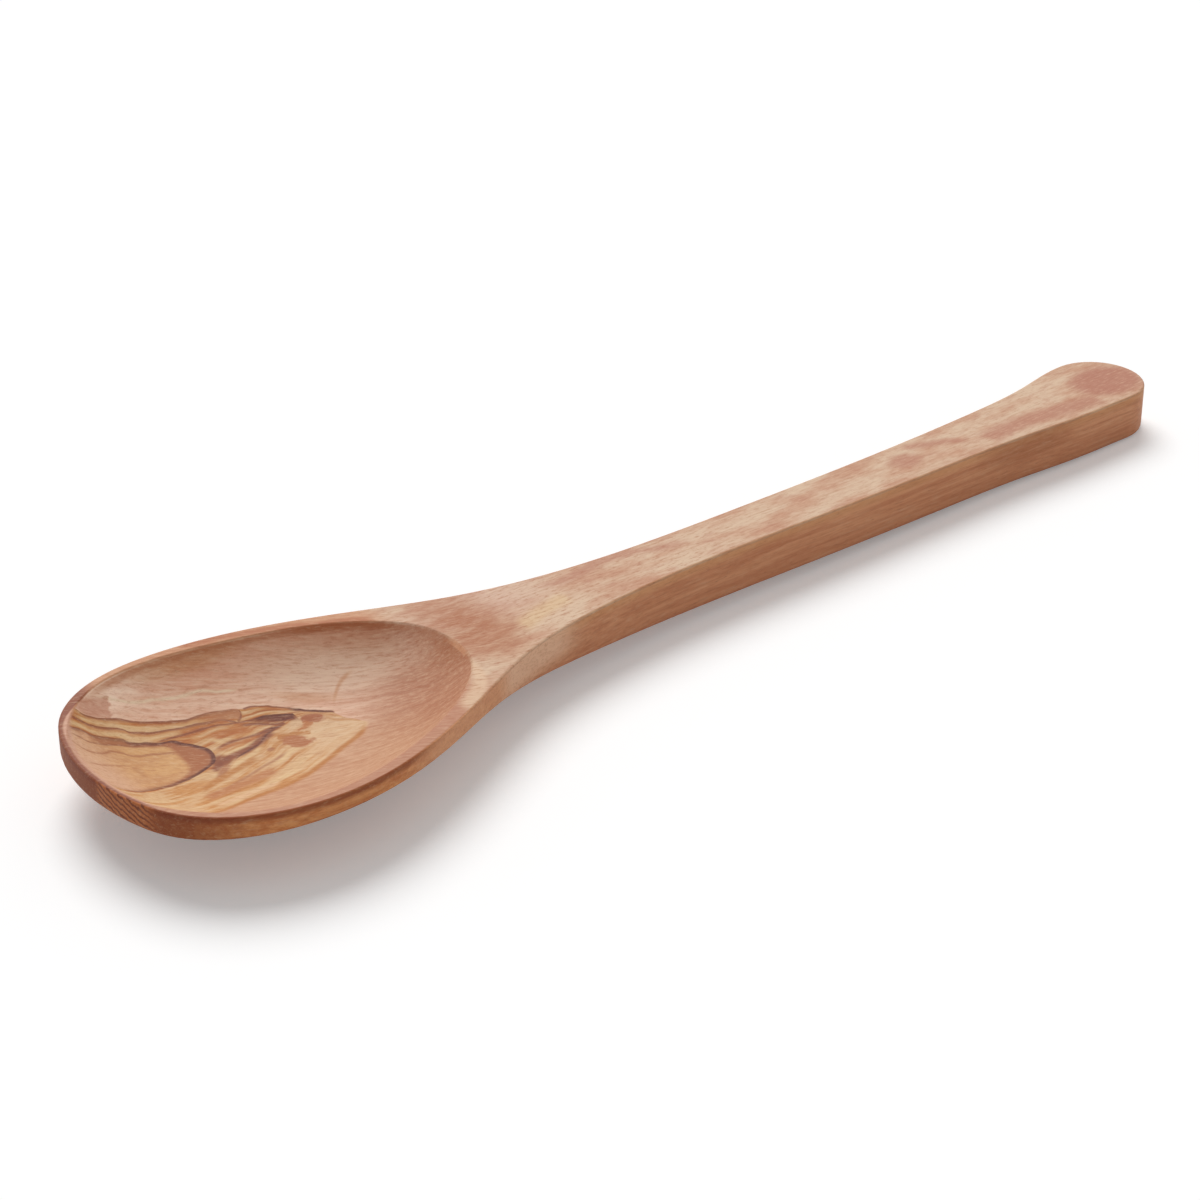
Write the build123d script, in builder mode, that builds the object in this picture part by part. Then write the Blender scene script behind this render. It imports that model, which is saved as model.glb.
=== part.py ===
from build123d import *
import os
from math import atan2, cos, degrees, sin, sqrt

# A cooking spoon carved from one piece of wood, in millimetres.
# It is drawn lying level: X runs from the tip of the bowl to the end of the handle, Y goes
# across, and the rim, the neck and the top of the handle lie in the plane Z = 0, called the
# deck. At the end it is tipped to lie as it does on a table, on its belly and the end of
# its handle, with the origin on the table under its middle.

# Places along the spoon, from the tip of the bowl
overall_length = 300.0
widest_from_tip = 37.0
flat_from_tip = 158.0
waist_from_tip = 172.0

# Widths, and the round of the bowl's tip: its radius and how wide the arc is
bowl_width = 70.0
tip_radius = 49.0
tip_arc_width = 30.0
waist_width = 15.0
handle_end_width = 23.6

# It is carved by hand, so its middle wanders off the centre line, and most at the handle's end
wander = 1.0
end_lean = 2.2

# Heights, down from the deck. The rim height is that of the upright side above the belly.
rim_height = 3.75
belly_depth = 16.0
handle_thickness = 11.6

# The hollow, and the least width of the rim round it
hollow_length = 84.7
hollow_depth = 11.0
rim_width = 1.1

# Eased edges
top_edge_radius = 0.5
hollow_edge_radius = 0.35
bottom_edge_radius = 1.2

# How far the cutting forms reach past what they cut
overrun = 12.0
side_overrun = 3.0

# The outline and the belly. Each row stands at one place: how far along to the widest place
# or, after it, from there to the waist, then the half width, how far the middle leans to one
# side, the height of the upright side and the depth of the keel. The lean is a share of the
# wander. Up to the widest place the others are shares of the half width, the rim height and
# the belly depth. After it they are how much is left of the change to the waist and to the
# thickness of the handle.
front_shares = (
    (0.22, 0.72, 0.25, 1.36, 0.57),
    (0.52, 0.929, 0.15, 1.17, 0.85),
    (1.0, 1.0, -0.55, 1.0, 1.0),
)
shoulder_shares = (
    (0.15, 0.86, -0.5, 0.955, 0.88),
    (0.3, 0.567, 0.1, 0.86, 0.56),
    (0.45, 0.256, 0.55, 0.46, 0.2),
    (0.6, 0.091, 0.2, 0.19, 0.03),
    (0.78, 0.011, 0.0, 0.03, 0.0),
)
waist_lean_share = -0.3

# The belly's form also has a section ahead of the tip, so that it passes the tip cleanly
ahead_shares = (-0.1, 0.4, 0.0, 0.88, 0.28)

# The outline from the waist to the round end: how far along, how much of the gain in width,
# and how much of the end's lean
flare_shares = ((0.42, 0.1, -0.16), (0.68, 0.3, 0.07), (0.86, 0.7, 0.36))

# The hollow. Each row is a section across its floor: how far along it, how much of the width
# inside the rim it takes, and how deep its edge and its middle are, as shares of its depth.
hollow_shares = (
    (0.05, 0.95, 0.0, 0.28),
    (0.18, 0.97, 0.0, 0.74),
    (0.42, 0.965, 0.0, 1.0),
    (0.68, 0.93, 0.0, 0.96),
    (0.88, 0.83, 0.0, 0.6),
)

# Sections clear of the hollow, ahead of it and past its end: how far along, the half width as
# a share of half the bowl's, and how high the edge and the middle are, as shares of the depth
hollow_ahead_shares = (-0.05, 0.38, -0.48, -0.3)
hollow_past_shares = (1.06, 0.24, -0.6, -0.45)

# How far across a section's curve its points stand, and how much fuller the floor of the
# hollow is than a parabola
across_shares = (-1.0, -0.66, -0.33, 0.0, 0.33, 0.66, 1.0)
hollow_fullness_share = 0.25

tip_arc_half = tip_arc_width / 2
tip_arc_end = tip_radius - sqrt(tip_radius**2 - tip_arc_half**2)
bowl_half = bowl_width / 2
waist_half = waist_width / 2
end_half = handle_end_width / 2
round_end_from_tip = overall_length - end_half


def between(start, end, share):
    return start + (end - start) * share


def outline_points(side):
    """One side of the outline, 1 or -1, from the end of the tip's arc to the round end."""
    points = [(tip_arc_end, side * tip_arc_half)]
    for along, width, lean, _, _ in front_shares:
        points.append((along * widest_from_tip, lean * wander + side * width * bowl_half))
    for along, width_left, lean, _, _ in shoulder_shares:
        place = between(widest_from_tip, waist_from_tip, along)
        half_width = between(waist_half, bowl_half, width_left)
        points.append((place, lean * wander + side * half_width))
    points.append((waist_from_tip, waist_lean_share * wander + side * waist_half))
    for along, gained, lean in flare_shares:
        place = between(waist_from_tip, round_end_from_tip, along)
        half_width = between(waist_half, end_half, gained)
        points.append((place, lean * end_lean + side * half_width))
    points.append((round_end_from_tip, end_lean + side * end_half))
    return points


def section(place, half_width, middle, edge_depth, middle_depth, fullness=0.0):
    """A section across the spoon: what lies over a curved floor, up to the overrun. The floor
    is edge_depth down at half_width from its middle, and it runs on a little past that."""
    reach = half_width + side_overrun
    floor_points = []
    for share in across_shares:
        across = share * reach / half_width
        rise = (1 - fullness) * across**2 + fullness * across**4
        depth = between(middle_depth, edge_depth, rise)
        floor_points.append((middle + share * reach, -depth))
    with BuildSketch(Plane.YZ.offset(place)) as profile:
        with BuildLine():
            floor = Spline(*floor_points)
            Polyline(floor @ 1, (middle + reach, overrun), (middle - reach, overrun), floor @ 0)
        make_face()
    return profile.sketch


def belly_sections():
    sections = []
    for along, width, lean, side, keel in (ahead_shares, *front_shares):
        place = along * widest_from_tip
        half_width = width * bowl_half
        side_height = side * rim_height
        keel_depth = keel * belly_depth
        sections.append(section(place, half_width, lean * wander, side_height, keel_depth))
    for along, width_left, lean, side_left, keel_left in shoulder_shares:
        place = between(widest_from_tip, waist_from_tip, along)
        half_width = between(waist_half, bowl_half, width_left)
        side_height = between(handle_thickness, rim_height, side_left)
        keel_depth = between(handle_thickness, belly_depth, keel_left)
        sections.append(section(place, half_width, lean * wander, side_height, keel_depth))
    waist_middle = waist_lean_share * wander
    for place in (flat_from_tip, waist_from_tip):
        flat = section(place, waist_half, waist_middle, handle_thickness, handle_thickness)
        sections.append(flat)
    return sections


def hollow_section(along, half_width, middle, edge, depth):
    place = rim_width + along * hollow_length
    edge_depth = edge * hollow_depth
    middle_depth = depth * hollow_depth
    return section(place, half_width, middle, edge_depth, middle_depth, hollow_fullness_share)


def hollow_sections():
    """They lie inside the rim: each is set out from the outline with the rim taken off."""
    along, width, edge, depth = hollow_ahead_shares
    sections = [hollow_section(along, width * bowl_half, 0, edge, depth)]
    for along, width, edge, depth in hollow_shares:
        place = rim_width + along * hollow_length
        across = Edge.make_line((place, -bowl_width), (place, bowl_width))
        room = inside_rim.sketch.face().intersect(across)[0].bounding_box()
        half_width = width * room.size.Y / 2
        sections.append(hollow_section(along, half_width, room.center().Y, edge, depth))
    along, width, edge, depth = hollow_past_shares
    sections.append(hollow_section(along, width * bowl_half, 0, edge, depth))
    return sections


# All that lies over the belly and the flat underside of the handle
with BuildPart() as underside:
    loft(belly_sections())
    with BuildSketch(Plane.XZ):
        with Locations((waist_from_tip, -handle_thickness)):
            Rectangle(
                overall_length - waist_from_tip + overrun,
                handle_thickness + overrun,
                align=(Align.MIN, Align.MIN),
            )
    extrude(amount=handle_end_width + overrun, both=True)

# The outline of the whole spoon, and the same with the rim taken off
with BuildSketch() as outline:
    with BuildLine():
        tip = ThreePointArc((tip_arc_end, -tip_arc_half), (0, 0), (tip_arc_end, tip_arc_half))
        far = Spline(*outline_points(1), tangents=(tip % 1, (1, 0)), tangent_scalars=(1, 1))
        near = Spline(*outline_points(-1), tangents=(-(tip % 0), (1, 0)), tangent_scalars=(1, 1))
        ThreePointArc(far @ 1, (overall_length, end_lean), near @ 1)
    make_face()
with BuildSketch() as inside_rim:
    add(outline.sketch)
    offset(amount=-rim_width, mode=Mode.REPLACE)

# All that lies over the floor of the hollow
with BuildPart() as hollow:
    loft(hollow_sections())

# The spoon itself: the outline, shaped underneath and hollowed
with BuildPart() as level_spoon:
    add(outline.sketch)
    extrude(amount=-(belly_depth + overrun))
    add(underside.part, mode=Mode.INTERSECT)
    seam_and_sides = edges().filter_by(GeomType.LINE) + edges().filter_by_position(
        Axis.X, waist_from_tip, waist_from_tip
    )
    deck_edges = edges().filter_by_position(Axis.Z, 0, 0)
    bottom_edges = edges() - deck_edges - seam_and_sides
    fillet(bottom_edges.sort_by(Axis.X), bottom_edge_radius)
    fillet(edges().filter_by_position(Axis.Z, 0, 0), top_edge_radius)
    add(hollow.part, mode=Mode.SUBTRACT)
    deck = faces().filter_by(Plane.XY).sort_by(Axis.Z)[-1]
    fillet(deck.inner_wires()[0].edges(), hollow_edge_radius)

# It lies on its belly and on the end of the flat underside. The belly touches a little behind
# its deepest point, so the tilt is put right by what the tipped form then lacks. The belly's
# lowest point is measured from a sheet held well below it.
sheet_drop = belly_depth + overrun
with BuildSketch(Plane.XY.offset(-sheet_drop)) as sheet:
    Rectangle(overall_length, bowl_width, align=(Align.MIN, Align.CENTER))
handle_rest = overall_length - bottom_edge_radius
resting_span = handle_rest - widest_from_tip
tilt = atan2(belly_depth - handle_thickness, resting_span)
for _ in range(3):
    tipped = level_spoon.part.rotate(Axis.Y, degrees(tilt))
    lowest = tipped.distance_to(sheet.sketch) - sheet_drop
    handle_height = -handle_rest * sin(tilt) - handle_thickness * cos(tilt) - lowest
    tilt += handle_height / resting_span
middle = tipped.bounding_box().center()
resting = Location((-middle.X, -middle.Y, -lowest), (0, degrees(tilt), 0))
with BuildPart() as spoon:
    with Locations(resting):
        add(level_spoon.part, clean=False)

os.makedirs("parts", exist_ok=True)
spoon.part.label = "spoon"
export_step(spoon.part, "parts/spoon.step")
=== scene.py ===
import math

import bpy
from mathutils import Matrix, Vector

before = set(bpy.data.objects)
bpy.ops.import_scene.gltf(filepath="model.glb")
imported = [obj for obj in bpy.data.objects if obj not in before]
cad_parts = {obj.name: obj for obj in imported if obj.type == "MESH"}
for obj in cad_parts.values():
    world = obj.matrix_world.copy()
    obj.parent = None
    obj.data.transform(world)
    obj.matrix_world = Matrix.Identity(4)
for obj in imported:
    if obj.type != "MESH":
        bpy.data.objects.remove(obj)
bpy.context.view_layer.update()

# The spoon is described in its own level frame, in millimetres: X runs from the tip of the
# bowl to the end of the handle, Y across, and the top of the rim and handle lies at Z = 0.
# On the table it is tipped a little, so this turns and moves the level frame into the scene.
TILT = math.radians(0.989096)
LEVEL_ORIGIN = Vector((-149.935, 0.46313, 16.7562))
MM = 0.001
level_to_scene = (
    Matrix.Scale(MM, 4)
    @ Matrix.Translation(LEVEL_ORIGIN)
    @ Matrix.Rotation(TILT, 4, "Y")
)

# ---- camera ----
CAMERA_AZIMUTH = math.radians(39.893)
CAMERA_ELEVATION = math.radians(28.294)
CAMERA_DISTANCE = 639.139
CAMERA_AIM = Vector((121.134, -6.933, 0.0))
LENS = 90.0
SENSOR = 36.0


def add_camera():
    back = Vector((
        -math.sin(CAMERA_AZIMUTH) * math.cos(CAMERA_ELEVATION),
        -math.cos(CAMERA_AZIMUTH) * math.cos(CAMERA_ELEVATION),
        math.sin(CAMERA_ELEVATION),
    ))
    right = Vector((math.cos(CAMERA_AZIMUTH), -math.sin(CAMERA_AZIMUTH), 0.0))
    up = back.cross(right)
    eye = CAMERA_AIM + CAMERA_DISTANCE * back
    place = Matrix((right, up, back)).transposed().to_4x4()
    place.translation = eye
    in_scene = level_to_scene @ place
    where, turn, _ = in_scene.decompose()
    camera_data = bpy.data.cameras.new("camera")
    camera_data.lens = LENS
    camera_data.sensor_width = SENSOR
    camera = bpy.data.objects.new("camera", camera_data)
    camera.matrix_world = Matrix.LocRotScale(where, turn, None)
    bpy.context.scene.collection.objects.link(camera)
    bpy.context.scene.camera = camera


add_camera()


# ---- light and floor ----
SKY_LEVEL = 0.34
SUN_LEVEL = 0.58
SUN_FROM = Vector((0.3, 0.7, 1.0))
SUN_SOFTNESS = math.radians(40)


def add_world():
    world = bpy.data.worlds.new("studio")
    world.use_nodes = True
    nodes, links = world.node_tree.nodes, world.node_tree.links
    nodes.clear()
    rays = nodes.new("ShaderNodeLightPath")
    seen = nodes.new("ShaderNodeMath")
    seen.operation = "MAXIMUM"
    links.new(rays.outputs["Is Camera Ray"], seen.inputs[0])
    links.new(rays.outputs["Is Glossy Ray"], seen.inputs[1])
    seen_too = nodes.new("ShaderNodeMath")
    seen_too.operation = "MAXIMUM"
    links.new(seen.outputs[0], seen_too.inputs[0])
    links.new(rays.outputs["Is Transmission Ray"], seen_too.inputs[1])
    level = nodes.new("ShaderNodeMapRange")
    level.inputs["To Min"].default_value = SKY_LEVEL
    level.inputs["To Max"].default_value = 1.0
    links.new(seen_too.outputs[0], level.inputs["Value"])
    back = nodes.new("ShaderNodeBackground")
    back.inputs["Color"].default_value = (1, 1, 1, 1)
    links.new(level.outputs[0], back.inputs["Strength"])
    out = nodes.new("ShaderNodeOutputWorld")
    links.new(back.outputs[0], out.inputs["Surface"])
    bpy.context.scene.world = world


def add_sun():
    sun = bpy.data.lights.new("sun", "SUN")
    slant = SUN_FROM.normalized().z
    sun.energy = SUN_LEVEL * math.pi / slant
    sun.angle = SUN_SOFTNESS
    lamp = bpy.data.objects.new("sun", sun)
    lamp.rotation_euler = SUN_FROM.to_track_quat("Z", "Y").to_euler()
    bpy.context.scene.collection.objects.link(lamp)


FLOOR_HALF = 3.0
FLOOR_DROP = 0.0001
FLOOR_COLOUR = (0.86, 0.86, 0.86, 1)
FLOOR_ROUGHNESS = 0.9
FLOOR_LIFT = 0.22


def add_floor():
    mesh = bpy.data.meshes.new("floor")
    h = FLOOR_HALF
    mesh.from_pydata([(-h, -h, 0), (h, -h, 0), (h, h, 0), (-h, h, 0)], [], [(0, 1, 2, 3)])
    floor = bpy.data.objects.new("floor", mesh)
    floor.location.z = -FLOOR_DROP
    bpy.context.scene.collection.objects.link(floor)
    material = bpy.data.materials.new("floor_white")
    material.use_nodes = True
    nodes, links = material.node_tree.nodes, material.node_tree.links
    shader = nodes["Principled BSDF"]
    shader.inputs["Base Color"].default_value = FLOOR_COLOUR
    shader.inputs["Roughness"].default_value = FLOOR_ROUGHNESS
    shader.inputs["Specular IOR Level"].default_value = 0.0
    rays = nodes.new("ShaderNodeLightPath")
    lift = nodes.new("ShaderNodeMath")
    lift.operation = "MULTIPLY"
    lift.inputs[1].default_value = FLOOR_LIFT
    links.new(rays.outputs["Is Camera Ray"], lift.inputs[0])
    shader.inputs["Emission Color"].default_value = (1, 1, 1, 1)
    links.new(lift.outputs[0], shader.inputs["Emission Strength"])
    mesh.materials.append(material)


add_world()
add_sun()
add_floor()
bpy.context.scene.view_settings.view_transform = "Standard"

# ---- wood ----
# The figure is drawn in the level frame, seen from above, in millimetres. A line is a list of
# points (X, Y), and each growth ring is a line whose colour is sharp on one side and fades on
# the other. Colours are given as they look, in sRGB.
wood = bpy.data.materials.new("olive_wood")
wood.use_nodes = True
nodes, links = wood.node_tree.nodes, wood.node_tree.links
shader = nodes["Principled BSDF"]


def tone(red, green, blue):
    """A colour from its sRGB values, 0 to 255, as the linear values that nodes take."""
    linear = []
    for value in (red, green, blue):
        share = value / 255
        linear.append(share / 12.92 if share <= 0.04045 else ((share + 0.055) / 1.055) ** 2.4)
    return (*linear, 1.0)


def feed(socket, value):
    if isinstance(value, bpy.types.NodeSocket):
        links.new(value, socket)
    else:
        socket.default_value = value


def calc(operation, first, second=0.0, third=0.0):
    node = nodes.new("ShaderNodeMath")
    node.operation = operation
    feed(node.inputs[0], first)
    feed(node.inputs[1], second)
    feed(node.inputs[2], third)
    return node.outputs[0]


def spread(value, start, end, low=0.0, high=1.0, smooth=False):
    """value, from start to end, laid out from low to high and held there beyond them."""
    node = nodes.new("ShaderNodeMapRange")
    if smooth:
        node.interpolation_type = "SMOOTHSTEP"
    feed(node.inputs["Value"], value)
    node.inputs["From Min"].default_value = start
    node.inputs["From Max"].default_value = end
    node.inputs["To Min"].default_value = low
    node.inputs["To Max"].default_value = high
    return node.outputs[0]


def rise(value, start, end):
    return spread(value, start, end, smooth=True)


def noise(x, y, z, size_x, size_y, size_z, detail=2.0, roughness=0.5, seed=0.0):
    """Soft noise, 0 to 1, whose clouds are about these sizes in millimetres."""
    place = nodes.new("ShaderNodeCombineXYZ")
    feed(place.inputs[0], calc("MULTIPLY_ADD", x, 1 / size_x, seed))
    feed(place.inputs[1], calc("MULTIPLY", y, 1 / size_y))
    feed(place.inputs[2], calc("MULTIPLY", z, 1 / size_z))
    node = nodes.new("ShaderNodeTexNoise")
    node.inputs["Scale"].default_value = 1.0
    node.inputs["Detail"].default_value = detail
    node.inputs["Roughness"].default_value = roughness
    links.new(place.outputs[0], node.inputs["Vector"])
    return node.outputs["Fac"]


CURVE_MARGIN = 2.0


def follow(along, points):
    """The height of the smooth line through these points, at along."""
    start, end = points[0][0], points[-1][0]
    heights = [height for _, height in points]
    low, high = min(heights) - CURVE_MARGIN, max(heights) + CURVE_MARGIN
    node = nodes.new("ShaderNodeFloatCurve")
    curve = node.mapping.curves[0]
    places = [((x - start) / (end - start), (y - low) / (high - low)) for x, y in points]
    curve.points[0].location = places[0]
    curve.points[1].location = places[-1]
    for place in places[1:-1]:
        curve.points.new(*place)
    node.mapping.update()
    feed(node.inputs["Value"], spread(along, start, end))
    return calc("MULTIPLY_ADD", node.outputs[0], high - low, low)


def within(along, start, end, ease_in=2.0, ease_out=2.0):
    """1 between start and end, easing in and out just inside them."""
    into = rise(along, start, start + ease_in)
    out = rise(along, end, end - ease_out)
    return calc("MULTIPLY", into, out)


def both(first, second):
    return calc("MULTIPLY", first, second)


def blend(mask, below, above, mode="MIX"):
    node = nodes.new("ShaderNodeMix")
    node.data_type = "RGBA"
    node.blend_type = mode
    feed(node.inputs[0], mask)
    feed(node.inputs[6], below)
    feed(node.inputs[7], above)
    return node.outputs[2]


def shades(value, stops):
    """A colour and its share from a ramp: stops are (place, colour, share)."""
    node = nodes.new("ShaderNodeValToRGB")
    ramp = node.color_ramp
    while len(ramp.elements) < len(stops):
        ramp.elements.new(0.5)
    for element, (place, colour, share) in zip(ramp.elements, stops):
        element.position = place
        element.color = (*colour[:3], share)
    feed(node.inputs[0], value)
    return node.outputs["Color"], node.outputs["Alpha"]


# How far a ring's dark line takes to begin
RING_EDGE = 0.25


class Surface:
    """The colour painted so far, and the places that its marks are set by."""

    def __init__(self, colour, x, y):
        self.colour = colour
        self.x = x
        self.y = y

    def paint(self, mask, colour):
        self.colour = blend(mask, self.colour, colour)

    def ring(self, points, dark, warm, fade, strength=1.0, ease=(2.0, 2.0)):
        """A growth ring: dark at its line, then warm, fading over fade towards -Y."""
        away = calc("SUBTRACT", follow(self.x, points), self.y)
        value = spread(away, -RING_EDGE, fade)
        first = RING_EDGE / (RING_EDGE + fade)
        colour, share = shades(value, (
            (0.0, dark, 0.0),
            (first, dark, 1.0),
            (first + (1 - first) * 0.22, dark, 0.8),
            (first + (1 - first) * 0.5, warm, 0.55),
            (1.0, warm, 0.0),
        ))
        place = within(self.x, points[0][0], points[-1][0], *ease)
        self.paint(both(both(share, place), strength), colour)

    def band(self, points, colour, half_width, soft=0.5, strength=1.0, ease=(3.0, 3.0)):
        """A soft stripe along a line."""
        away = calc("ABSOLUTE", calc("SUBTRACT", follow(self.x, points), self.y))
        mask = rise(away, half_width + soft, max(half_width - soft, 0.0))
        place = within(self.x, points[0][0], points[-1][0], *ease)
        self.paint(both(both(mask, place), strength), colour)

    def blob(self, x, y, half_x, half_y, colour, soft=0.4, strength=1.0, slant=0.0):
        """A soft oval patch. slant is how far its Y shifts for each millimetre along X."""
        over = calc("SUBTRACT", self.x, x)
        up = calc("SUBTRACT", self.y, y)
        if slant:
            up = calc("SUBTRACT", up, calc("MULTIPLY", over, slant))
        square = calc("POWER", calc("ABSOLUTE", calc("MULTIPLY", over, 1 / half_x)), 2.0)
        square_y = calc("POWER", calc("ABSOLUTE", calc("MULTIPLY", up, 1 / half_y)), 2.0)
        mask = rise(calc("SQRT", calc("ADD", square, square_y)), 1 + soft, 1 - soft)
        self.paint(both(mask, strength), colour)


# Places in the level frame, in millimetres
where = nodes.new("ShaderNodeTexCoord")
level = nodes.new("ShaderNodeMapping")
level.inputs["Scale"].default_value = (1 / MM, 1 / MM, 1 / MM)
level.inputs["Rotation"].default_value = (0.0, -TILT, 0.0)
level.inputs["Location"].default_value = Matrix.Rotation(-TILT, 3, "Y") @ -LEVEL_ORIGIN
links.new(where.outputs["Object"], level.inputs["Vector"])
split = nodes.new("ShaderNodeSeparateXYZ")
links.new(level.outputs[0], split.inputs[0])
X, Y, Z = split.outputs

face = nodes.new("ShaderNodeNewGeometry")
face_split = nodes.new("ShaderNodeSeparateXYZ")
links.new(face.outputs["Normal"], face_split.inputs[0])
UPWARD = face_split.outputs[2]

# The grain wanders a little, so the lines do too, by up to half of the sway to each side
SWAY = 0.9
SWAY_ALONG = 1.2
sway = noise(X, Y, Z, 6.0, 4.0, 4.0, detail=2.0)
shift = calc("MULTIPLY_ADD", sway, SWAY, -SWAY / 2)
FIGURE_Y = calc("ADD", Y, shift)
FIGURE_X = calc("ADD", X, calc("MULTIPLY", shift, SWAY_ALONG))

# Colours, as they look. The contrast at the end deepens them.
PALE = tone(212, 175, 146)
PINK = tone(193, 145, 117)
ROSE = tone(180, 127, 104)
CREAM = tone(216, 176, 134)
SAND = tone(207, 163, 124)
GOLD = tone(196, 142, 94)
HONEY = tone(181, 124, 74)
ORANGE = tone(178, 113, 66)
TAN = tone(162, 110, 80)
BROWN = tone(130, 82, 60)
PLUM = tone(88, 54, 46)
UMBER = tone(80, 44, 32)
# the hollow
FAR_DARK = tone(212, 160, 132)
FAR_PALE = tone(232, 188, 160)
NEAR_DARK = tone(187, 138, 108)
NEAR_PALE = tone(199, 154, 124)
NECK_DARK = tone(172, 121, 94)
NECK_PALE = tone(190, 141, 113)
WALL_RED = tone(204, 142, 112)
HOLLOW_PAINTED_LIGHT = tone(220, 182, 155)
TIP_GLOW = tone(244, 202, 174)
PALE_LINE = tone(226, 190, 158)
PINK_PATCH = tone(190, 136, 112)
SMEAR = tone(158, 102, 72)
UNDER_RIM_SHADE = tone(172, 112, 78)
# the figure in it
LOW_PALE = tone(213, 172, 136)
LOW_GOLD = tone(182, 126, 88)
LOW_CREAM = tone(217, 174, 138)
HOOK_TAN = tone(180, 126, 92)
PATCH_DARK = tone(82, 40, 28)
PATCH_WARM = tone(116, 64, 42)
PATCH_LINE = tone(98, 52, 38)
RUST = tone(160, 98, 62)
AMBER = tone(170, 110, 72)
TONGUE_DARK = tone(196, 146, 106)
TONGUE_PALE = tone(207, 157, 112)
TONGUE_PINK = tone(212, 166, 138)
TONGUE_TIP = tone(162, 106, 74)
# the rim and the handle
RIM_FAR = tone(200, 144, 110)
RIM_NEAR = tone(184, 130, 103)
RIM_TIP = tone(204, 156, 132)
RIM_BROWN = tone(134, 82, 60)
RIM_STREAK = tone(172, 108, 74)
NECK_PINK = tone(206, 164, 142)
NECK_BROWN = tone(170, 114, 82)
NECK_CREAM = tone(219, 178, 146)
END_ROSE = tone(178, 124, 102)
# the outer side and the belly
SIDE_DARK = tone(197, 131, 96)
SIDE_PALE = tone(220, 156, 118)
SIDE_LOW = tone(206, 138, 104)
SIDE_HIGH = tone(216, 156, 112)
BOWL_DARK = tone(196, 122, 76)
BOWL_PALE = tone(220, 150, 98)
TIP_BROWN = tone(130, 72, 44)
SHOULDER_TAN = tone(230, 168, 132)
UNDER_EDGE_SHADOW = tone(128, 68, 42)
STRIPE_GROUND = tone(196, 124, 80)
STRIPE_DARK = tone(84, 48, 40)
NECK_SIDE = tone(240, 186, 152)
END_LIT_STRIP = tone(222, 180, 156)
HANDLE_SIDE = tone(170, 112, 78)
# the fine grain
GRAIN_PALE = tone(222, 184, 152)
SPECKLE_DARK = tone(166, 108, 78)
SPECKLE_PALE = tone(226, 188, 156)

# Ground: pale and pink clouds drawn out along the spoon, with short streaks in them
cloud = noise(X, FIGURE_Y, Z, 20.0, 6.0, 6.0, detail=4.0, roughness=0.6, seed=2.0)
top = Surface(blend(rise(cloud, 0.38, 0.66), PALE, PINK), FIGURE_X, FIGURE_Y)
mottle = noise(X, Y, Z, 7.0, 2.0, 2.0, detail=4.0, roughness=0.65, seed=9.0)
top.paint(both(rise(mottle, 0.5, 0.72), 0.45), ROSE)

# The hollow is pale on its far side and redder towards the neck. Its streaks slant across it.
SLANT = [(0.0, 0.0), (40.0, 17.0), (55.0, 24.5), (70.0, 34.0), (85.0, 43.0), (95.0, 46.0),
         (110.0, 47.0), (300.0, 47.0)]
slanted = calc("ADD", Y, follow(X, SLANT))
drift = noise(X, slanted, Z, 16.0, 1.6, 3.0, detail=4.0, roughness=0.65, seed=5.0)
hollow_far = blend(rise(drift, 0.3, 0.7), FAR_DARK, FAR_PALE)
hollow_near = blend(rise(drift, 0.3, 0.7), NEAR_DARK, NEAR_PALE)
hollow_neck = blend(rise(drift, 0.3, 0.7), NECK_DARK, NECK_PALE)
hollow_colour = blend(rise(Y, -6.0, 4.0), hollow_near, hollow_far)
hollow_colour = blend(rise(X, 56.0, 76.0), hollow_colour, hollow_neck)
top.paint(both(rise(Z, -0.2, -0.5), rise(X, 96.0, 92.0)), hollow_colour)
high_wall = both(both(rise(Z, -9.0, -3.0), rise(Y, 10.0, 20.0)), rise(Z, -0.2, -0.5))
top.paint(both(both(high_wall, rise(X, 26.0, 42.0)), 0.5), WALL_RED)
# Painted light on the hollow's floor towards the neck; then a pale patch high on the far wall near
# the tip
top.blob(66.0, 14.0, 13.0, 6.0, HOLLOW_PAINTED_LIGHT, 0.7, 0.7, slant=-0.5)
top.blob(16.0, 29.0, 9.0, 4.5, TIP_GLOW, 0.7, 0.8)

# The figured part of the hollow's floor. Its streaks follow two lines that it lies between,
# and a third line parts the fan from what is below it.
UPPER = [(4.0, 28.0), (8.0, 27.0), (11.6, 25.6), (13.8, 24.1), (18.1, 23.3), (22.5, 21.7),
         (25.7, 20.8), (29.6, 19.7), (33.6, 18.7), (37.4, 18.3), (41.1, 17.4), (44.8, 16.1),
         (48.4, 15.1), (51.8, 12.9), (53.5, 11.6), (55.7, 9.2), (58.7, 6.7), (60.0, 4.0),
         (61.6, 0.0), (63.4, -3.0)]
LOWER = [(4.0, -24.0), (14.0, -19.0), (20.0, -16.0), (24.0, -14.2), (28.7, -12.8), (35.9, -12.3),
         (39.2, -11.7), (42.0, -11.1), (45.4, -9.7), (48.8, -8.3), (54.0, -6.3), (59.3, -4.8),
         (61.5, -3.8), (63.4, -3.0)]
FAN_LOW = [(4.0, -5.0), (8.5, -3.4), (14.6, -1.2), (19.5, 0.2), (24.8, 1.2), (29.8, 1.0),
           (31.4, 1.6), (33.4, 2.8), (35.4, 3.9), (37.6, 4.6), (41.9, 5.7), (45.2, 7.4),
           (48.8, 7.5), (53.0, 8.4), (58.0, 5.0), (63.4, -2.6)]
upper_y = follow(top.x, UPPER)
lower_y = follow(top.x, LOWER)
fan_y = follow(top.x, FAN_LOW)
below_upper = calc("SUBTRACT", upper_y, top.y)
across_fan = calc("DIVIDE", below_upper, calc("SUBTRACT", upper_y, fan_y))
strand = noise(top.x, across_fan, Z, 13.0, 0.085, 40.0, detail=3.0, roughness=0.55, seed=7.0)
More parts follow.
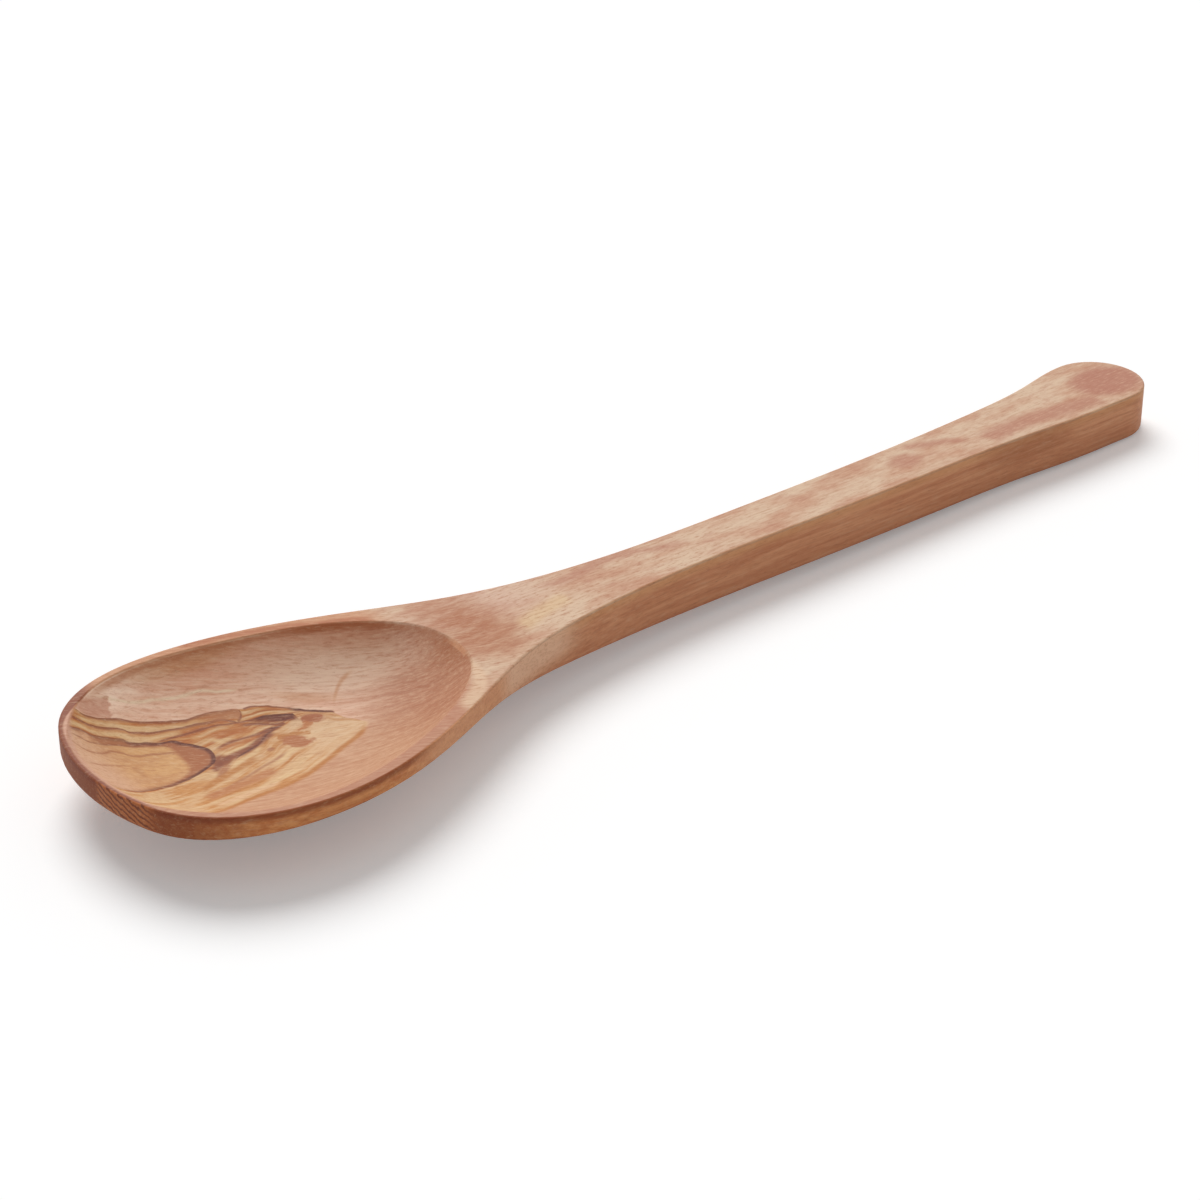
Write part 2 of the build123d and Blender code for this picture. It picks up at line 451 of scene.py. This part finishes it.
fan_colour, _ = shades(strand, (
    (0.25, TAN, 1.0), (0.4, ORANGE, 1.0), (0.5, GOLD, 1.0), (0.6, SAND, 1.0), (0.75, CREAM, 1.0),
))
below_fan = calc("SUBTRACT", fan_y, top.y)
across_low = calc("DIVIDE", below_fan, calc("SUBTRACT", fan_y, lower_y))
streak = noise(top.x, across_low, Z, 15.0, 0.1, 40.0, detail=3.0, roughness=0.55, seed=17.0)
low_colour, _ = shades(streak, (
    (0.3, HONEY, 1.0), (0.42, GOLD, 1.0), (0.52, SAND, 1.0), (0.7, CREAM, 1.0),
))
low_colour = blend(both(rise(top.x, 44.0, 54.0), 0.75), low_colour, LOW_PALE)
floor_colour = blend(rise(below_fan, -0.2, 0.3), fan_colour, low_colour)
over_lower = rise(calc("SUBTRACT", top.y, lower_y), -0.5, 0.7)
figured = both(both(rise(below_upper, -0.15, 0.25), over_lower), rise(top.x, 63.2, 62.0))
top.paint(figured, floor_colour)

# The cream strips between the rings, and the rings: dark at the line, then warm below it
top.band([(9.0, 24.6), (13.0, 22.9), (18.0, 21.9), (20.5, 20.6), (26.0, 19.1), (31.0, 18.2),
          (37.0, 17.4)], CREAM, 0.5, 0.5, 0.75)
top.band([(5.0, 21.8), (9.0, 21.6), (12.0, 19.9), (16.5, 19.0), (20.5, 17.4), (26.0, 16.4),
          (31.0, 16.2)], CREAM, 0.75, 0.5, 0.75)
top.ring([(10.4, 26.4), (11.6, 25.6), (12.5, 24.7), (13.8, 24.1), (15.9, 23.5), (18.1, 23.3),
          (20.1, 22.9), (22.5, 21.7), (25.7, 20.8), (29.6, 19.7), (33.6, 18.7), (37.4, 18.3),
          (41.1, 17.4), (43.6, 16.3), (44.2, 15.4)], BROWN, ORANGE, 1.7, 0.9, ease=(3.0, 0.3))
top.ring([(8.2, 23.6), (9.8, 23.4), (11.0, 22.8), (12.5, 22.0), (15.5, 21.2), (17.5, 21.0),
          (19.0, 20.5), (19.9, 19.4), (21.2, 18.9), (25.1, 18.1), (29.4, 17.5), (33.3, 16.9),
          (37.0, 16.3), (39.2, 16.0), (40.8, 14.8), (42.1, 13.7)],
         BROWN, ORANGE, 1.7, 0.9, ease=(2.0, 0.6))
top.ring([(23.4, 15.3), (25.8, 15.3), (28.2, 15.3), (32.9, 15.2), (35.8, 15.1), (37.7, 14.8),
          (39.5, 14.3), (42.4, 13.5), (43.9, 13.1), (45.5, 12.4)],
         BROWN, ORANGE, 1.3, 0.85, ease=(1.5, 1.0))
top.ring([(44.6, 16.1), (46.5, 15.9), (48.4, 15.1), (50.1, 14.0), (51.8, 12.9), (53.5, 11.6),
          (55.7, 9.2), (57.2, 8.0), (58.7, 6.7), (60.0, 5.0)],
         BROWN, ORANGE, 0.9, 0.9, ease=(0.5, 0.4))
top.band([(52.2, 12.4), (54.1, 10.6), (56.0, 8.8), (58.7, 6.4), (60.0, 5.0)],
         UMBER, 0.45, 0.3, 0.9, ease=(2.0, 0.6))

# The brown patch between the rings, which ends sharply at a hook
top.band([(33.0, 17.8), (37.0, 17.2), (40.0, 16.5), (43.9, 15.3)], HOOK_TAN, 1.15, 0.5,
         0.85, ease=(7.0, 0.2))
top.band([(42.0, 13.9), (43.0, 14.3), (43.9, 15.2)], BROWN, 0.3, 0.3, 0.7, ease=(0.3, 0.1))

# The fan: an orange heart, pale strands, and dark ones that run together at a dark patch
top.band([(33.0, 12.6), (36.0, 12.2), (40.0, 11.4), (44.5, 11.0)], ORANGE, 1.1, 0.7, 0.85)
top.band([(31.9, 12.4), (34.6, 10.9), (36.6, 10.0), (39.4, 9.6)], CREAM, 0.5, 0.5, 0.85)
top.band([(32.3, 8.0), (33.5, 8.4), (36.4, 9.1), (38.7, 9.0), (40.9, 8.7), (45.2, 8.4),
          (49.5, 8.0)], BROWN, 0.4, 0.35, 0.85)
top.band([(32.0, 7.2), (36.4, 8.2), (40.9, 7.9), (44.5, 7.7)], ORANGE, 0.5, 0.4, 0.85)
top.band([(31.8, 5.9), (35.0, 6.3), (37.8, 6.5), (41.4, 6.8), (44.0, 7.2)], CREAM, 0.45, 0.3,
         0.95)
top.ring([(43.5, 13.2), (45.7, 12.8), (47.5, 12.4), (49.3, 11.7), (51.2, 10.9), (53.2, 9.9)],
         PATCH_DARK, PATCH_WARM, 3.0, 1.0, ease=(3.0, 0.25))
top.band([(46.0, 11.7), (48.8, 10.5), (50.7, 9.7), (52.7, 9.2)], PATCH_LINE, 0.8, 0.5, 0.95,
         ease=(3.0, 0.3))
top.band([(41.0, 12.6), (44.0, 11.8), (46.4, 10.4), (48.0, 9.2), (50.1, 8.4)], BROWN, 0.4, 0.3,
         0.9, ease=(2.5, 0.5))
top.band([(44.0, 8.9), (46.5, 8.7), (48.5, 8.2), (50.8, 8.6)], PLUM, 0.3, 0.25, 0.8)
top.band([(27.6, 2.2), (28.6, 2.3), (30.6, 3.2), (32.6, 4.1), (34.6, 4.8), (36.9, 5.1),
          (39.7, 5.5), (42.1, 6.3), (44.7, 7.2), (47.0, 7.8)], BROWN, 0.95, 0.5, 0.9,
         ease=(1.5, 2.0))
top.band([(33.4, 2.9), (35.4, 4.0), (37.6, 4.7), (39.6, 5.2), (41.9, 5.8), (43.6, 6.8),
          (45.2, 7.6), (46.8, 7.9), (48.8, 7.6)], PLUM, 0.2, 0.25, 0.8)
top.blob(31.6, 4.6, 2.2, 1.9, BROWN, 0.45, 0.9)
top.blob(29.6, 0.6, 2.6, 1.2, TAN, 0.6, 0.8, slant=0.8)

# Below the fan: tan streaks and one clear cream one
top.band([(24.9, -6.6), (28.3, -5.0), (32.1, -3.8), (34.6, -2.9), (37.7, -1.9), (41.0, -1.2),
          (45.0, 0.0)], TAN, 0.3, 0.5, 0.7)
top.band([(20.0, -5.0), (24.1, -3.1), (28.9, -1.2), (33.5, 0.4), (36.3, 1.0), (39.5, 1.4)],
         HONEY, 0.9, 0.6, 0.9)
top.band([(31.0, 0.6), (34.6, 2.3), (37.5, 3.2), (40.2, 4.0), (42.9, 5.0)], CREAM, 0.6, 0.4, 0.9)
top.band([(19.0, -8.6), (25.0, -6.9), (32.0, -5.6), (40.0, -4.3)], LOW_GOLD, 1.4, 0.8,
         0.9)
top.band([(18.0, -13.6), (24.0, -11.6), (30.0, -10.6), (37.0, -10.0)], LOW_CREAM, 0.8,
         0.6, 0.85)

# The orange patch and the honey patch beyond the fan, whose edges are uneven by this much
RAGGED_X = 5.0
RAGGED_Y = 3.0
ragged = noise(X, Y, Z, 2.6, 1.6, 3.0, detail=3.0, seed=33.0)
top.x = calc("ADD", FIGURE_X, calc("MULTIPLY_ADD", ragged, RAGGED_X, -RAGGED_X / 2))
top.y = calc("ADD", FIGURE_Y, calc("MULTIPLY_ADD", ragged, -RAGGED_Y, RAGGED_Y / 2))
top.blob(55.4, 6.3, 2.2, 1.5, RUST, 0.3, 0.95, slant=-0.5)
top.band([(50.0, 4.8), (52.4, 5.3), (54.6, 5.9)], ORANGE, 0.6, 0.35, 0.85, ease=(0.8, 0.5))
top.band([(45.0, 4.4), (47.0, 4.9), (49.0, 4.6), (51.0, 3.6), (52.6, 2.9)], HONEY, 0.8, 0.35,
         0.95, ease=(0.8, 0.5))
top.blob(48.3, 1.9, 2.7, 2.4, AMBER, 0.22, 0.95, slant=-0.35)
top.x, top.y = FIGURE_X, FIGURE_Y
top.blob(42.4, 2.6, 0.8, 0.6, TAN, 0.5, 0.7)

# The edge of the figured part, golden brown
top.band([(12.0, -20.2), (18.0, -17.0), (24.0, -14.4), (28.7, -13.0), (35.9, -12.5),
          (39.2, -11.8), (42.0, -11.2), (45.4, -9.9), (48.8, -8.5), (54.0, -6.5), (59.3, -4.9),
          (61.5, -3.5), (62.7, -1.5)], HONEY, 0.75, 0.6, 0.95)
top.band([(57.0, 5.4), (58.0, 4.3), (59.0, 2.8), (60.6, 1.2), (62.3, -1.2)], HONEY, 0.4, 0.5,
         0.6, ease=(0.8, 0.4))

# The tongue: a closed ring round a middle, in polar places, with lines that follow it
TONGUE_X, TONGUE_Y = 14.0, 8.0
TONGUE = [(3.0, 21.0), (6.0, 20.8), (7.6, 20.5), (9.1, 20.4), (10.8, 19.0), (12.2, 18.7),
          (15.6, 18.0), (17.1, 17.6), (18.1, 16.6), (21.7, 15.7), (22.9, 15.0), (26.8, 14.2),
          (27.8, 13.4), (29.4, 12.2), (30.7, 10.9), (31.4, 9.7), (31.8, 8.5), (31.5, 6.7),
          (30.7, 5.2), (29.4, 4.3), (27.1, 3.2), (24.8, 2.2), (22.3, 1.3), (19.5, 0.5),
          (17.2, -0.4), (14.6, -0.9), (11.8, -1.8), (8.5, -3.1), (6.0, -3.6), (3.6, -3.9)]
over = calc("SUBTRACT", top.x, TONGUE_X)
up = calc("SUBTRACT", top.y, TONGUE_Y)
turn = calc("ARCTAN2", up, over)
reach = calc("SQRT", calc("ADD", calc("MULTIPLY", over, over), calc("MULTIPLY", up, up)))
ROUND = sorted((math.atan2(y - TONGUE_Y, x - TONGUE_X),
                math.hypot(x - TONGUE_X, y - TONGUE_Y)) for x, y in TONGUE)
inside = calc("SUBTRACT", follow(turn, ROUND), reach)
tongue = rise(inside, -0.1, 0.3)
haze = noise(top.x, top.y, Z, 9.0, 4.0, 6.0, detail=3.0, seed=25.0)
top.paint(tongue, blend(rise(haze, 0.35, 0.65), TONGUE_DARK, TONGUE_PALE))
top.paint(both(both(tongue, rise(top.x, 15.0, 5.0)), 0.75), TONGUE_PINK)
top.band([(9.0, 17.9), (12.0, 17.3), (17.0, 16.2), (20.0, 15.5), (24.0, 14.2), (27.5, 12.6)],
         TAN, 0.75, 0.5, 0.85)
top.band([(5.0, 18.7), (6.5, 18.4), (8.0, 17.9), (8.9, 17.0), (10.4, 16.5), (14.8, 16.1),
          (17.6, 15.4), (19.6, 15.0), (22.7, 14.4), (24.5, 13.6), (26.2, 12.7), (27.6, 11.4)],
         BROWN, 0.25, 0.3, 0.6)
top.band([(4.0, 17.6), (5.3, 15.0), (7.0, 13.6), (9.8, 13.2), (12.6, 14.0), (14.6, 13.6),
          (15.8, 12.7), (17.7, 12.1), (20.0, 12.0), (24.1, 11.4), (27.0, 11.0)], TAN, 0.2, 0.45,
         0.75)
top.band([(2.2, 8.4), (4.3, 8.3), (6.5, 8.4), (9.0, 8.9), (11.4, 9.2), (13.4, 9.0), (14.6, 7.6)],
         TAN, 0.1, 0.5, 0.5)
top.blob(14.3, 6.8, 1.0, 2.2, TAN, 0.7, 0.35, slant=1.0)
TIP_ZONE = [(-4.5, 9.0), (-0.6, 14.5), (1.6, 19.8), (2.9, 22.5), (4.8, 24.3), (7.0, 25.0),
            (9.4, 25.3), (11.4, 25.2), (13.6, 24.4), (16.0, 20.0)]
in_tip = rise(calc("SUBTRACT", top.x, follow(top.y, TIP_ZONE)), -0.8, 1.0)
top.paint(both(both(in_tip, tongue), 0.9), TONGUE_TIP)
outline_value = spread(inside, -0.3, 2.2)
outline_colour, outline_share = shades(outline_value, (
    (0.0, PLUM, 0.0), (0.1, PLUM, 1.0), (0.36, PLUM, 0.85), (0.6, TAN, 0.55), (1.0, TAN, 0.0),
))
thin = rise(top.x, 14.0, 28.0)
top.paint(both(both(outline_share, rise(turn, -2.6, -1.9)), calc("MULTIPLY_ADD", thin, 0.4, 0.6)),
          outline_colour)

# The far side of the hollow: a pale line, a pink patch, two orange marks and a dark smear.
# Where the pink patch ends along X is given by Y.
PINK_END = [(20.0, 18.0), (24.0, 18.6), (26.8, 20.0), (28.7, 20.8), (32.0, 21.0)]
top.band([(17.0, 28.3), (20.6, 27.9), (22.6, 26.9), (24.5, 26.1), (28.7, 25.4), (30.7, 24.8),
          (34.9, 24.0), (39.5, 23.5), (43.2, 21.9), (48.0, 20.4)], PALE_LINE, 0.3, 0.4,
         0.85)
pink_end = calc("MULTIPLY_ADD", ragged, 3.0, calc("SUBTRACT", top.x, follow(top.y, PINK_END)))
pink_patch = both(both(rise(top.x, 10.0, 14.0), rise(pink_end, 1.9, 1.1)),
                  both(rise(top.y, 28.8, 27.6), rise(below_upper, 0.0, -0.3)))
top.paint(both(pink_patch, 0.75), PINK_PATCH)
top.band([(60.5, 6.6), (62.5, 8.6), (65.9, 11.2), (67.7, 11.8), (70.5, 12.2)], ORANGE, 0.3, 0.6,
         0.45)
top.blob(57.5, 12.2, 5.0, 1.6, ORANGE, 0.6, 0.35, slant=-0.7)
top.band([(62.0, 25.2), (66.0, 23.6), (70.9, 21.4), (74.8, 19.3), (78.1, 16.7), (81.0, 13.2),
          (83.5, 9.5)], SMEAR, 0.8, 0.5, 0.75, ease=(6.0, 3.0))
top.blob(40.0, 30.0, 12.0, 2.2, HONEY, 0.7, 0.4, slant=-0.1)
# Painted shade: a darker band on the far wall just under the rim, inside the hollow
under_rim_shade = both(both(rise(Z, -0.25, -0.5), rise(Z, -1.7, -0.8)), rise(Y, 4.0, 14.0))
top.paint(both(both(under_rim_shade, rise(X, 10.0, 24.0)), 0.6), UNDER_RIM_SHADE)

# Rim and handle. The outline at the tip, and how wide the dark edge of its rim is, are given
# as X by Y.
rim = both(rise(Z, -0.35, -0.15), rise(X, 84.0, 76.0))
top.paint(both(both(rim, rise(Y, 0.0, 12.0)), 0.85), RIM_FAR)
top.paint(both(both(rim, rise(Y, -2.0, -12.0)), 0.85), RIM_NEAR)
TIP_EDGE = [(-32.4, 19.2), (-25.0, 8.1), (-15.0, 2.4), (0.0, 0.0), (15.0, 2.4), (25.4, 8.1),
            (32.7, 19.2)]
from_edge = calc("SUBTRACT", X, follow(Y, TIP_EDGE))
TIP_DARK = [(-34.0, 0.5), (-20.0, 0.6), (0.0, 0.9), (15.0, 0.95), (21.0, 1.1), (26.0, 2.8),
            (30.0, 4.7), (34.0, 5.0)]
tip_dark = rise(calc("SUBTRACT", from_edge, follow(Y, TIP_DARK)), 0.5, -0.2)
at_tip = both(rise(X, 22.0, 14.0), rise(Y, -20.0, -12.0))
top.paint(both(both(at_tip, rise(from_edge, 3.6, 2.2)), both(rise(Z, -1.4, -0.5), 0.85)),
          RIM_TIP)
top.paint(both(both(rise(Z, -1.0, -0.7), at_tip), both(tip_dark, 0.95)), RIM_BROWN)
top.band([(40.0, 33.6), (46.0, 32.2), (52.0, 30.5), (60.0, 27.6), (71.0, 22.0), (80.0, 17.0)],
         RIM_STREAK, 1.2, 0.8, 0.7)
top.blob(98.0, 8.0, 16.0, 8.0, NECK_PINK, 0.7, 0.6)
top.blob(92.5, 1.5, 8.5, 14.0, NECK_BROWN, 0.6,
         calc("MULTIPLY_ADD", rise(mottle, 0.3, 0.65), 0.5, 0.45))
top.band([(70.0, -25.0), (74.2, -23.0), (78.0, -20.4), (81.0, -17.0), (83.6, -12.6), (85.4, -8.5)],
         NECK_CREAM, 2.4, 1.4, both(rise(Z, -0.7, -0.2), 0.85))
top.band([(100.0, -6.0), (108.0, -3.0), (118.0, -1.0)], CREAM, 2.2, 1.6, 0.55)
top.band([(112.0, 6.0), (121.0, 5.0), (135.0, 6.5), (148.0, 3.0), (156.0, 1.5)],
         ROSE, 1.4, 1.6, 0.65, ease=(8.0, 8.0))
top.blob(219.5, 0.0, 4.2, 3.2, ROSE, 0.5, 0.75)
top.band([(223.0, 5.0), (232.0, 2.5), (240.0, -2.0)], ROSE, 1.6, 1.4, 0.7)
top.band([(242.0, -4.0), (255.0, -3.0), (268.0, -4.0), (282.0, -6.0)], ROSE, 2.8, 2.2, 0.8)
top.blob(290.0, 0.5, 10.0, 7.6, END_ROSE, 0.3, 0.95)

# The outer side and the belly: more orange, with streaks along the grain, a painted shadow under
# the rim, dark at the tip, and with rings round the belly
side_streak = noise(X, Y, Z, 26.0, 1.0, 1.0, detail=4.0, roughness=0.65, seed=12.0)
side = Surface(blend(rise(side_streak, 0.3, 0.7), SIDE_DARK, SIDE_PALE),
               FIGURE_X, FIGURE_Y)
side.paint(both(rise(Z, -4.0, -11.0), 0.5), SIDE_LOW)
side.paint(both(both(rise(Z, -3.0, -0.8), rise(X, 86.0, 104.0)), 0.7), SIDE_HIGH)
bowl_side = rise(X, 100.0, 78.0)
side.paint(both(both(bowl_side, rise(Z, -8.0, -4.0)), 0.85),
           blend(rise(side_streak, 0.35, 0.65), BOWL_DARK, BOWL_PALE))
side.paint(both(rise(X, 20.0, 2.0), 0.85), TIP_BROWN)
side.paint(both(both(rise(X, 46.0, 62.0), rise(X, 96.0, 82.0)), 0.55), SHOULDER_TAN)
# Painted shadow: a dark band on the outer side just under the rim, along the bowl
under_edge_shadow = both(rise(Z, -1.9, -0.6), rise(X, 64.0, 48.0))
side.paint(both(under_edge_shadow, 0.7), UNDER_EDGE_SHADOW)
STRIPE = 3.0
STRIPE_LEAN = 2.3
STRIPE_RAGGED = 4.0
across_stripes = calc("SUBTRACT", calc("MULTIPLY", Z, STRIPE_LEAN), side.y)
across_stripes = calc("MULTIPLY_ADD", ragged, STRIPE_RAGGED, across_stripes)
stripe_phase = calc("FRACT", calc("MULTIPLY", across_stripes, 1 / STRIPE))
stripe_zone = both(both(rise(Y, -0.5, -2.5), rise(Y, -19.0, -14.0)), rise(X, 8.0, 5.0))
side.paint(both(stripe_zone, 0.75), STRIPE_GROUND)
stripes = both(both(rise(stripe_phase, 0.55, 0.3), rise(stripe_phase, 0.0, 0.1)), stripe_zone)
side.paint(both(stripes, 0.7), STRIPE_DARK)
side.paint(both(both(rise(X, 82.0, 90.0), rise(X, 116.0, 104.0)), both(rise(Z, -9.0, -4.0), 0.8)),
           NECK_SIDE)
# Painted light: the handle's sides and end, over its last few millimetres, made lighter as if lit
# from the right
side.paint(both(rise(X, 294.0, 298.0), 0.8), END_LIT_STRIP)
side.paint(both(both(rise(X, 232.0, 246.0), rise(X, 272.0, 258.0)),
                both(rise(Z, -8.0, -4.0), 0.45)), HANDLE_SIDE)
BELLY_X, BELLY_Y = 44.0, 1.0
BELLY_SQUASH = 0.42
BELLY_RING = 3.6
belly_x = calc("MULTIPLY", calc("SUBTRACT", side.x, BELLY_X), BELLY_SQUASH)
belly_y = calc("SUBTRACT", side.y, BELLY_Y)
belly_reach = calc("SQRT", calc("ADD", calc("MULTIPLY", belly_x, belly_x),
                                calc("MULTIPLY", belly_y, belly_y)))
belly_phase = calc("FRACT", calc("MULTIPLY", belly_reach, 1 / BELLY_RING))
ring_colour, ring_share = shades(belly_phase, (
    (0.0, BROWN, 0.0), (0.06, BROWN, 0.7), (0.2, TAN, 0.45), (0.6, TAN, 0.1), (1.0, TAN, 0.0),
))
side.paint(both(both(ring_share, rise(X, 110.0, 80.0)), rise(UPWARD, -0.3, -0.6)), ring_colour)

# The hollow's walls look up, so only a face turned well away from above is the outer side,
# and with it the eased edge of the near rim
NEAR_X, NEAR_Y = -0.6, -0.8
in_hollow = both(rise(Z, -0.5, -0.9), rise(UPWARD, 0.05, 0.15))
outer = calc("SUBTRACT", rise(UPWARD, 0.42, 0.12), in_hollow)
facing = calc("MULTIPLY_ADD", face_split.outputs[0], NEAR_X,
              calc("MULTIPLY", face_split.outputs[1], NEAR_Y))
near_edge = both(both(rise(facing, 0.1, 0.3), rise(Z, -0.9, -0.7)),
                 both(rise(Y, 2.0, -2.0), spread(X, 66.0, 84.0, 1.0, 0.5)))
outer = calc("MAXIMUM", calc("MAXIMUM", outer, 0.0), near_edge)
colour = blend(outer, top.colour, side.colour)

# Fine grain over everything: streaks along the spoon, speckles, stronger at the neck, and short
# dark pores
grain = noise(X, slanted, Z, 9.0, 0.5, 0.5, detail=3.0, roughness=0.65, seed=20.0)
colour = blend(both(rise(grain, 0.5, 0.75), 0.3), colour, TAN)
colour = blend(both(rise(grain, 0.48, 0.25), 0.22), colour, GRAIN_PALE)
speckle = noise(X, slanted, Z, 2.4, 0.7, 0.7, detail=3.0, roughness=0.7, seed=40.0)
rough_neck = both(rise(X, 60.0, 84.0), rise(X, 180.0, 140.0))
inner = calc("SUBTRACT", 1.0, calc("MULTIPLY", outer, 0.6))
speckle_share = both(calc("MULTIPLY_ADD", rough_neck, 0.25, 0.3), inner)
colour = blend(both(rise(speckle, 0.5, 0.7), speckle_share), colour, SPECKLE_DARK)
colour = blend(both(rise(speckle, 0.5, 0.3), both(inner, 0.25)), colour, SPECKLE_PALE)
pores = noise(X, Y, Z, 2.6, 0.16, 0.16, detail=1.0, seed=30.0)
colour = blend(both(rise(pores, 0.66, 0.8), 0.35), colour, BROWN)

# More contrast: each channel is raised to a power about a level that it keeps
CONTRAST = ((1.08, 0.314), (1.3, 0.261), (1.38, 0.1785))
BRIGHTEST = 0.92
parts = nodes.new("ShaderNodeSeparateColor")
links.new(colour, parts.inputs[0])
joined = nodes.new("ShaderNodeCombineColor")
for channel, (power, kept) in enumerate(CONTRAST):
    share = calc("MULTIPLY", parts.outputs[channel], 1 / kept)
    deeper = calc("MULTIPLY", calc("POWER", share, power), kept)
    links.new(calc("MINIMUM", deeper, BRIGHTEST), joined.inputs[channel])
links.new(joined.outputs[0], shader.inputs["Base Color"])

LEAST_ROUGH = 0.46
GRAIN_ROUGH = 0.16
SHINE = 0.2
rough = calc("MULTIPLY_ADD", grain, GRAIN_ROUGH, LEAST_ROUGH)
links.new(rough, shader.inputs["Roughness"])
shader.inputs["Specular IOR Level"].default_value = SHINE

BUMP_STRENGTH = 0.35
BUMP_HEIGHT = 0.12 * MM
PORE_DEPTH = 0.8
bump = nodes.new("ShaderNodeBump")
bump.inputs["Strength"].default_value = BUMP_STRENGTH
bump.inputs["Distance"].default_value = BUMP_HEIGHT
pore_depth = both(rise(pores, 0.66, 0.8), PORE_DEPTH)
links.new(calc("SUBTRACT", grain, pore_depth), bump.inputs["Height"])
links.new(bump.outputs[0], shader.inputs["Normal"])

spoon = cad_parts["spoon"]
spoon.data.materials.clear()
spoon.data.materials.append(wood)
